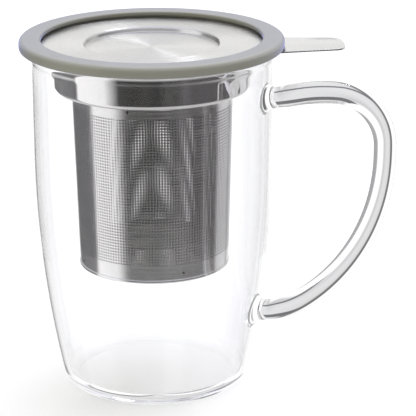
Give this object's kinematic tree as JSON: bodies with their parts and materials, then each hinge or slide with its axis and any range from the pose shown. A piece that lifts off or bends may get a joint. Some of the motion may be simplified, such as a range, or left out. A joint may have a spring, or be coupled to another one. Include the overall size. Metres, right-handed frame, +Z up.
{
  "type": "lidded tea mug with infuser",
  "caption": "Tall clear glass mug with a D-shaped glass handle, a hanging perforated steel infuser with a lifting tab, and a steel lid in a silicone ring.",
  "frame": {"origin": "centre of the flat base, on the axis of the mug, where it stands", "axes": "+Z up along the mug's axis, +X towards the handle, Y across the handle"},
  "size_m": [0.1397, 0.096, 0.131],
  "materials": {
    "clear_glass": "clear, fire-polished",
    "handle_glass": "clear, flame-worked",
    "collar_steel": "bright, turned",
    "sleeve_steel": "bright, finely perforated",
    "base_steel": "satin, pressed",
    "tab_steel": "satin, stamped flat",
    "brushed_disc": "brushed in circles",
    "grey_silicone": "matte moulded"
  },
  "bodies": {
    "mug": {"mug_body": "clear_glass", "mug_handle": "handle_glass"},
    "infuser": {"infuser_collar": "collar_steel", "infuser_sleeve": "sleeve_steel", "infuser_base": "base_steel", "infuser_tab": "tab_steel"},
    "lid": {"lid_disc": "brushed_disc", "lid_ring": "grey_silicone"}
  },
  "joints": [
    {"name": "infuser_lift", "type": "slide", "parent": "mug", "child": "infuser", "axis": [0, 0, 1], "range_m": [0, 0.09]},
    {"name": "lid_lift", "type": "slide", "parent": "infuser", "child": "lid", "axis": [0, 0, 1], "range_m": [0, 0.04]}
  ]
}
